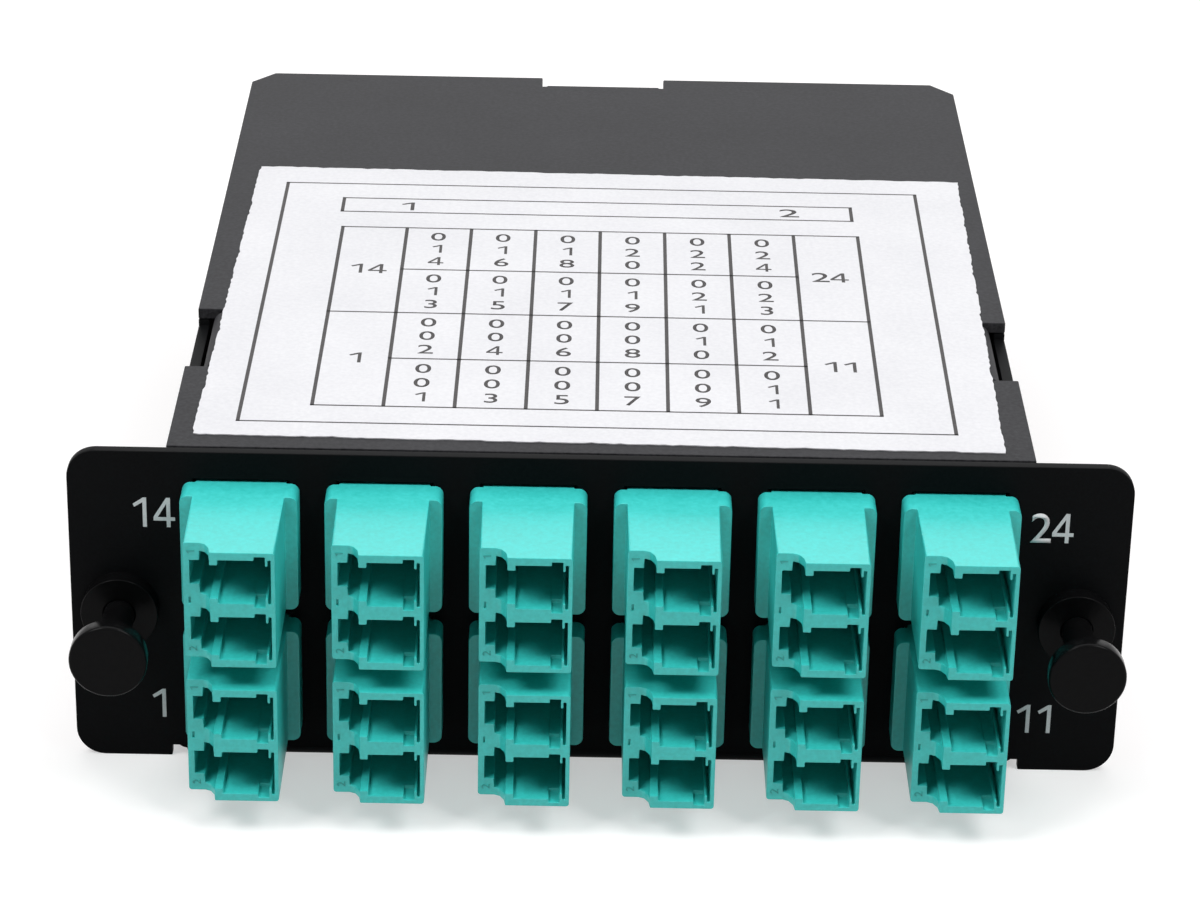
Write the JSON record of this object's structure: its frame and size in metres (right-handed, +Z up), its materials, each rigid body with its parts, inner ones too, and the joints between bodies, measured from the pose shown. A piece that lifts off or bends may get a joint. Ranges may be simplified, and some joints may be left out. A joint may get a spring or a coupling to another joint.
{
  "type": "fibre cassette",
  "caption": "Fibre cassette: a folded sheet case with duplex LC adapters in its front panel, trunk connectors behind, and a push plunger at each end of the panel.",
  "frame": {"origin": "middle of the whole assembly in X and Y, at the height of the panel ears' lower edge", "axes": "+X to the right seen from the front, +Y from the front panel to the rear connectors, +Z up to the cover"},
  "size_m": [0.108, 0.1398, 0.0351],
  "materials": {
    "black_sheet": "satin powder coat",
    "grey_sheet": "fine textured powder coat",
    "label_paper": "printed paper",
    "black_steel": "blackened",
    "clip_steel": "rolled",
    "aqua_plastic": "moulded",
    "black_nylon": "moulded",
    "black_plastic": "moulded",
    "plug_plastic": "moulded",
    "ceramic": "ground ceramic",
    "fibre_jacket": "smooth"
  },
  "bodies": {
    "housing": {"alignment_sleeves": "ceramic", "base_tray": "black_sheet", "cover_label": "label_paper", "cover_screws": "black_steel", "fanout_block_1": "black_plastic", "fanout_block_2": "black_plastic", "fibre_harness_1": "fibre_jacket", "fibre_harness_2": "fibre_jacket", "fibre_spool": "black_plastic", "grommet_left": "black_nylon", "grommet_right": "black_nylon", "lc_adapter_01": "aqua_plastic", "lc_adapter_02": "aqua_plastic", "lc_adapter_03": "aqua_plastic", "lc_adapter_04": "aqua_plastic", "lc_adapter_05": "aqua_plastic", "lc_adapter_06": "aqua_plastic", "lc_adapter_07": "aqua_plastic", "lc_adapter_08": "aqua_plastic", "lc_adapter_09": "aqua_plastic", "lc_adapter_10": "aqua_plastic", "lc_adapter_11": "aqua_plastic", "lc_adapter_12": "aqua_plastic", "lc_clip_01": "clip_steel", "lc_clip_02": "clip_steel", "lc_clip_03": "clip_steel", "lc_clip_04": "clip_steel", "lc_clip_05": "clip_steel", "lc_clip_06": "clip_steel", "lc_clip_07": "clip_steel", "lc_clip_08": "clip_steel", "lc_clip_09": "clip_steel", "lc_clip_10": "clip_steel", "lc_clip_11": "clip_steel", "lc_clip_12": "clip_steel", "lc_plug_pair_01": "plug_plastic", "lc_plug_pair_02": "plug_plastic", "lc_plug_pair_03": "plug_plastic", "lc_plug_pair_04": "plug_plastic", "lc_plug_pair_05": "plug_plastic", "lc_plug_pair_06": "plug_plastic", "lc_plug_pair_07": "plug_plastic", "lc_plug_pair_08": "plug_plastic", "lc_plug_pair_09": "plug_plastic", "lc_plug_pair_10": "plug_plastic", "lc_plug_pair_11": "plug_plastic", "lc_plug_pair_12": "plug_plastic", "mpo_adapter_1": "black_plastic", "mpo_adapter_2": "black_plastic", "mpo_clip_1": "clip_steel", "mpo_clip_2": "clip_steel", "mpo_plug_1": "black_plastic", "mpo_plug_2": "black_plastic", "top_cover": "grey_sheet"},
    "plunger_left": {"plunger_left": "black_nylon"},
    "plunger_right": {"plunger_right": "black_nylon"}
  },
  "joints": [
    {"name": "plunger_left_slide", "type": "slide", "parent": "housing", "child": "plunger_left", "axis": [0, 1, 0], "range_m": [0, 0.0083]},
    {"name": "plunger_right_slide", "type": "slide", "parent": "housing", "child": "plunger_right", "axis": [0, 1, 0], "range_m": [0, 0.0083]}
  ]
}
